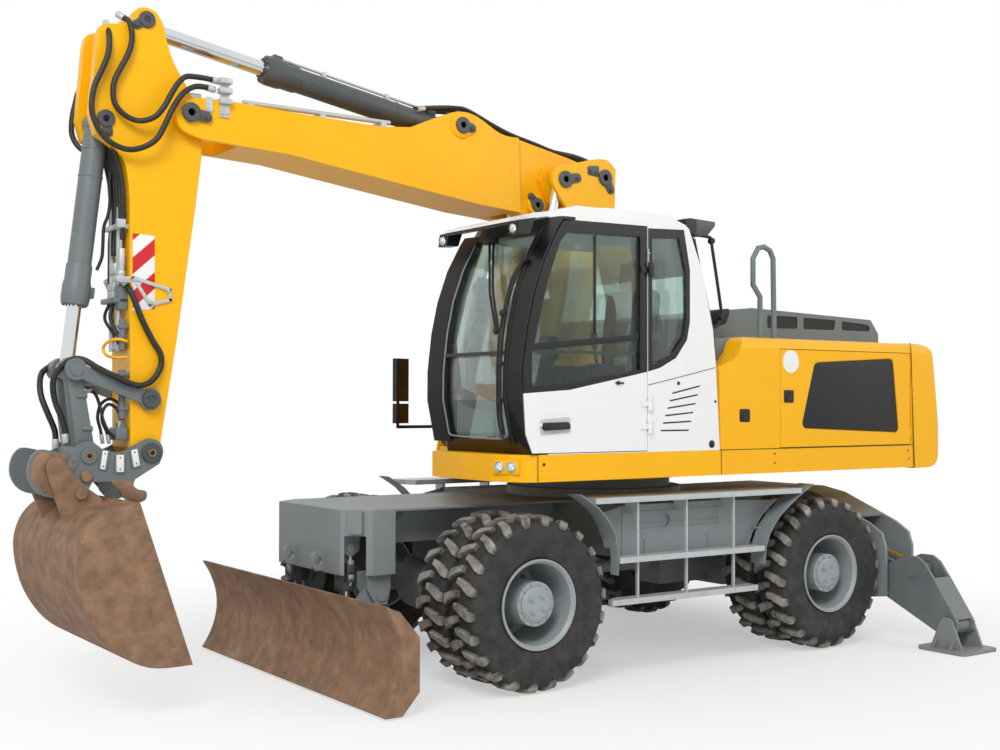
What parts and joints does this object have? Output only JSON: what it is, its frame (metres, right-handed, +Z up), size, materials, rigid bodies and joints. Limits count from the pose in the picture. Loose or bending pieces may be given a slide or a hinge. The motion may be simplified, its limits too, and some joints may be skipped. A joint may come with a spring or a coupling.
{
  "type": "wheeled excavator",
  "caption": "Wheeled excavator with twin tyres, two-piece boom, stick, quick coupler and bucket, dozer blade in front and stabilisers behind",
  "frame": {"origin": "on the ground, on the slew axis of the superstructure", "axes": "+X to the front where the arm and blade are, +Y to the cab side, +Z up"},
  "size_m": [6.6521, 3.934, 4.088],
  "materials": {
    "arm_grey": "satin",
    "black": "matte",
    "chrome": "polished",
    "frame_grey": "satin",
    "glass": "clear",
    "hose": "matte",
    "rim": "satin",
    "rust": "rough",
    "step": "satin",
    "tyre": "matte",
    "white": "gloss",
    "yellow": "gloss"
  },
  "bodies": {
    "root": {"chassis": "frame_grey", "front_axle": "frame_grey", "rear_axle": "frame_grey", "steps": "step", "side_boxes": "frame_grey", "stabiliser_housing": "frame_grey"},
    "knuckle_left": {"knuckle_l": "frame_grey"},
    "knuckle_right": {"knuckle_r": "frame_grey"},
    "wheel_fl": {"tyres_fl": "tyre", "rims_fl": "rim"},
    "wheel_fr": {"tyres_fr": "tyre", "rims_fr": "rim"},
    "wheel_rl": {"tyres_rl": "tyre", "rims_rl": "rim"},
    "wheel_rr": {"tyres_rr": "tyre", "rims_rr": "rim"},
    "blade_lift": {"blade": "rust", "blade_arms": "frame_grey"},
    "blade_cylinders": {"blade_barrels": "arm_grey"},
    "blade_pistons": {"blade_rods": "chrome"},
    "stabiliser_left": {"leg_l": "frame_grey"},
    "pad_left": {"foot_l": "frame_grey"},
    "stabiliser_cylinder_left": {"leg_barrel_l": "arm_grey"},
    "stabiliser_piston_left": {"leg_rod_l": "chrome"},
    "stabiliser_right": {"leg_r": "frame_grey"},
    "pad_right": {"foot_r": "frame_grey"},
    "stabiliser_cylinder_right": {"leg_barrel_r": "arm_grey"},
    "stabiliser_piston_right": {"leg_rod_r": "chrome"},
    "superstructure": {"deck": "yellow", "hood": "yellow", "counterweight": "yellow", "engine": "arm_grey", "cab_shell": "white", "cab_frame": "black", "cab_glass": "glass", "cab_interior": "black", "cab_fittings": "black"},
    "hood_lid": {"top_cover": "arm_grey"},
    "hood_door_left": {"hood_door_l": "yellow"},
    "hood_door_right": {"hood_door_r": "yellow"},
    "cab_door": {"cab_door": "white", "door_frame": "black", "door_glass": "glass"},
    "base_boom": {"base_boom": "yellow"},
    "hoist_cylinders": {"hoist_barrels": "arm_grey"},
    "hoist_pistons": {"hoist_rods": "chrome"},
    "upper_boom": {"upper_boom": "yellow", "boom_pipes": "hose"},
    "adjust_cylinder": {"adjust_barrel": "arm_grey"},
    "adjust_piston": {"adjust_rod": "chrome"},
    "stick": {"stick": "yellow", "stick_pipes": "hose"},
    "stick_cylinder": {"stick_barrel": "arm_grey"},
    "stick_piston": {"stick_rod": "chrome"},
    "bucket": {"coupler": "arm_grey", "bucket": "rust"},
    "levers": {"levers": "arm_grey"},
    "link": {"link": "arm_grey"},
    "bucket_cylinder": {"bucket_barrel": "arm_grey"},
    "bucket_piston": {"bucket_rod": "chrome"}
  },
  "joints": [
    {"name": "steering", "type": "hinge", "parent": "root", "child": "knuckle_left", "pos_m": [1.41, 0.587, 0.535], "axis": [0, 0, 1], "range_deg": [-27, 27]},
    {"name": "steering_right", "type": "hinge", "parent": "root", "child": "knuckle_right", "pos_m": [1.41, -0.587, 0.535], "axis": [0, 0, 1], "range_deg": [-27, 27]},
    {"name": "wheel_fl", "type": "hinge", "parent": "knuckle_left", "child": "wheel_fl", "pos_m": [1.41, 0.951, 0.535], "axis": [0, 1, 0], "continuous": true},
    {"name": "wheel_fr", "type": "hinge", "parent": "knuckle_right", "child": "wheel_fr", "pos_m": [1.41, -0.951, 0.535], "axis": [0, 1, 0], "continuous": true},
    {"name": "wheel_rl", "type": "hinge", "parent": "root", "child": "wheel_rl", "pos_m": [-1.18, 0.951, 0.535], "axis": [0, 1, 0], "continuous": true},
    {"name": "wheel_rr", "type": "hinge", "parent": "root", "child": "wheel_rr", "pos_m": [-1.18, -0.951, 0.535], "axis": [0, 1, 0], "continuous": true},
    {"name": "blade_lift", "type": "hinge", "parent": "root", "child": "blade_lift", "pos_m": [2.08, 0, 0.56], "axis": [0, -1, 0], "range_deg": [-10, 20]},
    {"name": "blade_cylinder_swing", "type": "hinge", "parent": "root", "child": "blade_cylinders", "pos_m": [2.235, 0, 0.85], "axis": [0, -1, 0], "range_deg": [-3.39, 6.48]},
    {"name": "blade_cylinder_stroke", "type": "slide", "parent": "blade_cylinders", "child": "blade_pistons", "axis": [0, 0, -1], "range_m": [-0.05949, 0.03075]},
    {"name": "stabiliser_left", "type": "hinge", "parent": "root", "child": "stabiliser_left", "pos_m": [-1.89, 1.19, 0.41], "axis": [1, 0, 0], "range_deg": [0, 80]},
    {"name": "pad_left", "type": "hinge", "parent": "stabiliser_left", "child": "pad_left", "pos_m": [-1.89, 1.767, 0.176], "axis": [1, 0, 0], "range_deg": [-12, 12]},
    {"name": "stabiliser_swing_left", "type": "hinge", "parent": "root", "child": "stabiliser_cylinder_left", "pos_m": [-1.89, 0.38, 0.86], "axis": [1, 0, 0], "range_deg": [-0.3, 8.14]},
    {"name": "stabiliser_stroke_left", "type": "slide", "parent": "stabiliser_cylinder_left", "child": "stabiliser_piston_left", "axis": [0, 0.9601, -0.2795], "range_m": [-0.37787, 0.002]},
    {"name": "stabiliser_right", "type": "hinge", "parent": "root", "child": "stabiliser_right", "pos_m": [-1.89, -1.19, 0.41], "axis": [-1, 0, 0], "range_deg": [0, 80]},
    {"name": "pad_right", "type": "hinge", "parent": "stabiliser_right", "child": "pad_right", "pos_m": [-1.89, -1.767, 0.176], "axis": [-1, 0, 0], "range_deg": [-12, 12]},
    {"name": "stabiliser_swing_right", "type": "hinge", "parent": "root", "child": "stabiliser_cylinder_right", "pos_m": [-1.89, -0.38, 0.86], "axis": [-1, 0, 0], "range_deg": [-0.3, 8.14]},
    {"name": "stabiliser_stroke_right", "type": "slide", "parent": "stabiliser_cylinder_right", "child": "stabiliser_piston_right", "axis": [0, -0.9601, -0.2795], "range_m": [-0.37787, 0.002]},
    {"name": "slew", "type": "hinge", "parent": "root", "child": "superstructure", "pos_m": [0, 0, 1.2], "axis": [0, 0, 1], "continuous": true},
    {"name": "hood_lid", "type": "hinge", "parent": "superstructure", "child": "hood_lid", "pos_m": [-2.2, 0, 2.248], "axis": [0, -1, 0], "range_deg": [0, 60]},
    {"name": "hood_door_left", "type": "hinge", "parent": "superstructure", "child": "hood_door_left", "pos_m": [-2.047, 1.244, 1.8], "axis": [0, 0, 1], "range_deg": [0, 100]},
    {"name": "hood_door_right", "type": "hinge", "parent": "superstructure", "child": "hood_door_right", "pos_m": [-2.047, -1.244, 1.8], "axis": [0, 0, -1], "range_deg": [0, 100]},
    {"name": "cab_door", "type": "hinge", "parent": "superstructure", "child": "cab_door", "pos_m": [0.556, 1.265, 2.1], "axis": [0, 0, 1], "range_deg": [0, 95]},
    {"name": "boom_lift", "type": "hinge", "parent": "superstructure", "child": "base_boom", "pos_m": [0.42, -0.12, 1.76], "axis": [0, -1, 0], "range_deg": [-40, 5]},
    {"name": "hoist_cylinder_swing", "type": "hinge", "parent": "superstructure", "child": "hoist_cylinders", "pos_m": [0.95, -0.12, 1.5], "axis": [0, -1, 0], "range_deg": [-34.05, 4.52]},
    {"name": "hoist_cylinder_stroke", "type": "slide", "parent": "hoist_cylinders", "child": "hoist_pistons", "axis": [-0.2544, 0, 0.9671], "range_m": [-0.36074, 0.04684]},
    {"name": "boom_adjust", "type": "hinge", "parent": "base_boom", "child": "upper_boom", "pos_m": [0.11, -0.12, 3.37], "axis": [0, -1, 0], "range_deg": [-5, 50]},
    {"name": "adjust_cylinder_swing", "type": "hinge", "parent": "base_boom", "child": "adjust_cylinder", "pos_m": [0.56, -0.12, 2.18], "axis": [0, -1, 0], "range_deg": [-1.29, 0.4]},
    {"name": "adjust_cylinder_stroke", "type": "slide", "parent": "adjust_cylinder", "child": "adjust_piston", "axis": [0.0463, 0, 0.9989], "range_m": [-0.04818, 0.46384]},
    {"name": "stick_swing", "type": "hinge", "parent": "upper_boom", "child": "stick", "pos_m": [3.18, -0.12, 3.48], "axis": [0, 1, 0], "range_deg": [-70, 12]},
    {"name": "stick_cylinder_swing", "type": "hinge", "parent": "upper_boom", "child": "stick_cylinder", "pos_m": [1.24, -0.12, 3.64], "axis": [0, 1, 0], "range_deg": [-3.42, 0.83]},
    {"name": "stick_cylinder_stroke", "type": "slide", "parent": "stick_cylinder", "child": "stick_piston", "axis": [0.9857, 0, 0.1686], "range_m": [-0.67912, 0.11808]},
    {"name": "bucket_curl", "type": "hinge", "parent": "stick", "child": "bucket", "pos_m": [3.395, -0.12, 1.45], "axis": [0, 1, 0], "range_deg": [-40, 50]},
    {"name": "lever_swing", "type": "hinge", "parent": "stick", "child": "levers", "pos_m": [3.4, -0.12, 1.765], "axis": [0, 1, 0], "range_deg": [-35.8, 44.67]},
    {"name": "link_swing", "type": "hinge", "parent": "levers", "child": "link", "pos_m": [3.835, -0.12, 1.935], "axis": [0, 1, 0], "range_deg": [-27.23, 21.85]},
    {"name": "bucket_cylinder_swing", "type": "hinge", "parent": "stick", "child": "bucket_cylinder", "pos_m": [3.667, -0.12, 3.396], "axis": [0, 1, 0], "range_deg": [-3.24, 2.65]},
    {"name": "bucket_cylinder_stroke", "type": "slide", "parent": "bucket_cylinder", "child": "bucket_piston", "axis": [0.1142, 0, -0.9935], "range_m": [-0.26992, 0.3369]}
  ],
  "couplings": [
    {"joint": "steering_right", "follows": "steering", "ratio": 1},
    {"joint": "blade_cylinder_swing", "follows": "blade_lift", "ratio": 0.30899},
    {"joint": "blade_cylinder_stroke", "follows": "blade_lift", "m_per_rad": -0.1647},
    {"joint": "stabiliser_swing_left", "follows": "stabiliser_left", "ratio": 0.097997},
    {"joint": "stabiliser_stroke_left", "follows": "stabiliser_left", "m_per_rad": -0.2692},
    {"joint": "stabiliser_swing_right", "follows": "stabiliser_right", "ratio": 0.097997},
    {"joint": "stabiliser_stroke_right", "follows": "stabiliser_right", "m_per_rad": -0.2692},
    {"joint": "hoist_cylinder_swing", "follows": "boom_lift", "ratio": 0.8438},
    {"joint": "hoist_cylinder_stroke", "follows": "boom_lift", "m_per_rad": 0.51386},
    {"joint": "adjust_cylinder_swing", "follows": "boom_adjust", "ratio": -0.019791},
    {"joint": "adjust_cylinder_stroke", "follows": "boom_adjust", "m_per_rad": 0.52923},
    {"joint": "stick_cylinder_swing", "follows": "stick_swing", "ratio": 0.044601},
    {"joint": "stick_cylinder_stroke", "follows": "stick_swing", "m_per_rad": 0.55423},
    {"joint": "lever_swing", "follows": "bucket_curl", "ratio": 0.88744},
    {"joint": "link_swing", "follows": "bucket_curl", "ratio": -0.53868},
    {"joint": "bucket_cylinder_swing", "follows": "bucket_curl", "ratio": -0.058786},
    {"joint": "bucket_cylinder_stroke", "follows": "bucket_curl", "m_per_rad": 0.38377}
  ]
}
